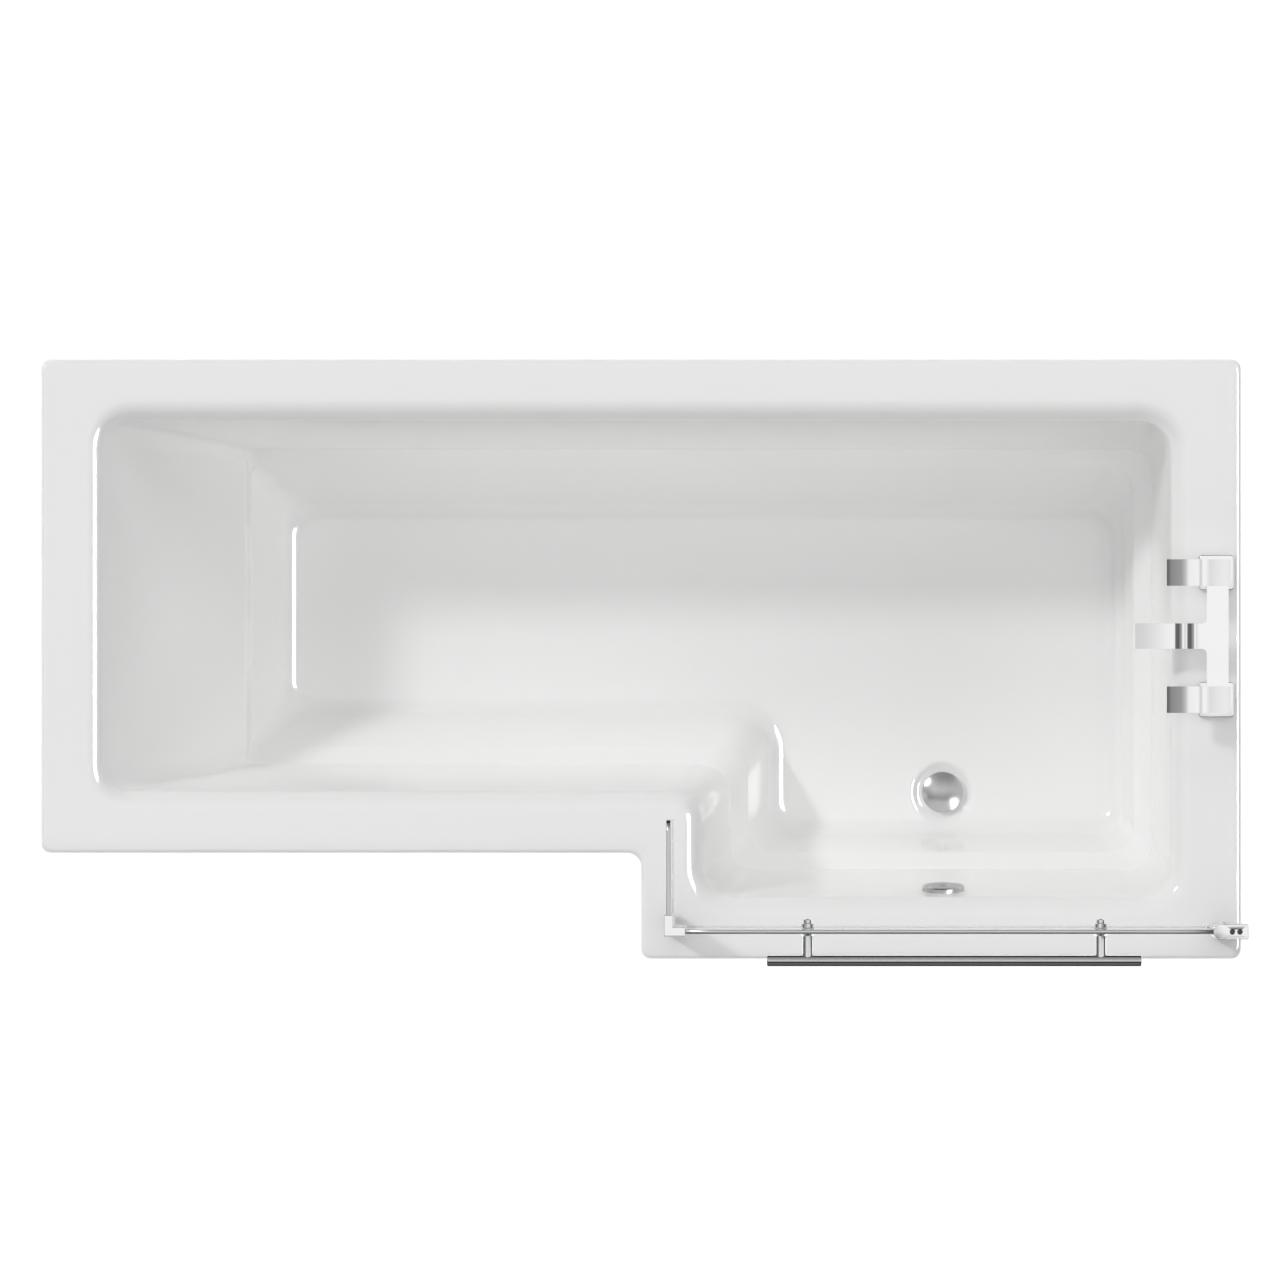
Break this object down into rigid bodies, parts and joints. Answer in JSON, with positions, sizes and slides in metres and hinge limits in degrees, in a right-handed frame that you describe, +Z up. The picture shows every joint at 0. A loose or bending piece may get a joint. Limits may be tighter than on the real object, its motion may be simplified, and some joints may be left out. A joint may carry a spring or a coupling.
{
  "type": "l-shaped shower bath",
  "caption": "L-shaped acrylic shower bath on a leg cradle with hinged glass screen and return panel, towel rail, deck filler, pop-up waste, overflow and front panel.",
  "frame": {"origin": "on the floor under the centre of the whole object, towel rail included", "axes": "+X towards the tap end and the wall that carries the screen, +Y towards the long wall, +Z up"},
  "size_m": [1.7, 0.8604, 1.96],
  "materials": {
    "bath_acrylic": "glossy white acrylic sheet, reinforced behind",
    "panel_acrylic": "glossy white acrylic",
    "chipboard": "resin-coated chipboard",
    "pine": "planed softwood",
    "zinc_steel": "zinc-plated steel",
    "foot_plastic": "black moulded nylon",
    "bright_aluminium": "bright polished aluminium",
    "cap_chrome": "bright chrome plate",
    "cap_screw_steel": "dark plated steel",
    "nylon": "natural nylon",
    "clear_glass": "clear toughened glass, polished edges",
    "clear_vinyl": "translucent soft vinyl",
    "rail_chrome": "bright chrome tube",
    "tap_chrome": "bright chrome plate on brass",
    "aerator_plastic": "grey moulded plastic",
    "brass": "machined brass",
    "black_rubber": "black rubber",
    "white_plastic": "white moulded plastic",
    "waste_chrome": "bright chrome plate",
    "hose_plastic": "pale grey flexible plastic tube"
  },
  "bodies": {
    "bath": {"bath_shell": "bath_acrylic", "base_board": "chipboard", "rim_battens": "pine", "leg_bars": "zinc_steel", "leg_studs": "zinc_steel", "leg_nuts": "zinc_steel", "foot_pads": "foot_plastic", "board_screws": "zinc_steel", "front_panel": "panel_acrylic", "floor_battens": "pine", "panel_screws": "zinc_steel", "panel_screw_caps": "tap_chrome", "panel_clips": "zinc_steel", "wall_profile": "bright_aluminium", "slide_profile": "bright_aluminium", "top_cap": "cap_chrome", "foot_cap": "cap_chrome", "cap_screws": "cap_screw_steel", "hinge_pins": "zinc_steel", "tap_base_plates": "tap_chrome", "tap_body": "tap_chrome", "aerator": "aerator_plastic", "tap_tails": "brass", "tap_washers": "black_rubber", "tap_backnuts": "white_plastic", "valve_cartridges": "brass", "waste_seals": "black_rubber", "waste_flange": "waste_chrome", "plug_sleeve": "brass", "waste_body": "white_plastic", "trap": "white_plastic", "trap_nuts": "white_plastic", "overflow_seal": "black_rubber", "overflow_elbow": "white_plastic", "overflow_plate": "waste_chrome", "overflow_screw": "waste_chrome", "overflow_hose": "hose_plastic"},
    "screen": {"pivot_post": "bright_aluminium", "pivot_bushes": "nylon", "post_gasket": "clear_vinyl", "main_glass": "clear_glass", "corner_post": "bright_aluminium", "corner_caps": "cap_chrome", "return_glass": "clear_glass", "main_seal": "clear_vinyl", "return_seal": "clear_vinyl", "rail_bar": "rail_chrome", "rail_posts": "rail_chrome", "rail_washers": "clear_vinyl", "rail_knobs": "rail_chrome"},
    "lever_rear_body": {"lever_rear": "tap_chrome", "spindle_rear": "brass", "set_screw_rear": "zinc_steel"},
    "lever_front_body": {"lever_front": "tap_chrome", "spindle_front": "brass", "set_screw_front": "zinc_steel"},
    "plug": {"plug_dome": "waste_chrome", "plug_seal": "black_rubber", "plug_stem": "brass"}
  },
  "joints": [
    {"name": "screen_swing", "type": "hinge", "parent": "bath", "child": "screen", "pos_m": [0.812, -0.37785, 0.56], "axis": [0, 0, 1], "range_deg": [0, 80]},
    {"name": "lever_rear_turn", "type": "hinge", "parent": "bath", "child": "lever_rear_body", "pos_m": [0.815, 0.12715, 0.619], "axis": [0, 0, -1], "range_deg": [0, 90]},
    {"name": "lever_front_turn", "type": "hinge", "parent": "bath", "child": "lever_front_body", "pos_m": [0.815, -0.05285, 0.619], "axis": [0, 0, 1], "range_deg": [0, 90]},
    {"name": "plug_rise", "type": "slide", "parent": "bath", "child": "plug", "axis": [0, 0, 1], "range_m": [0, 0.009]}
  ]
}
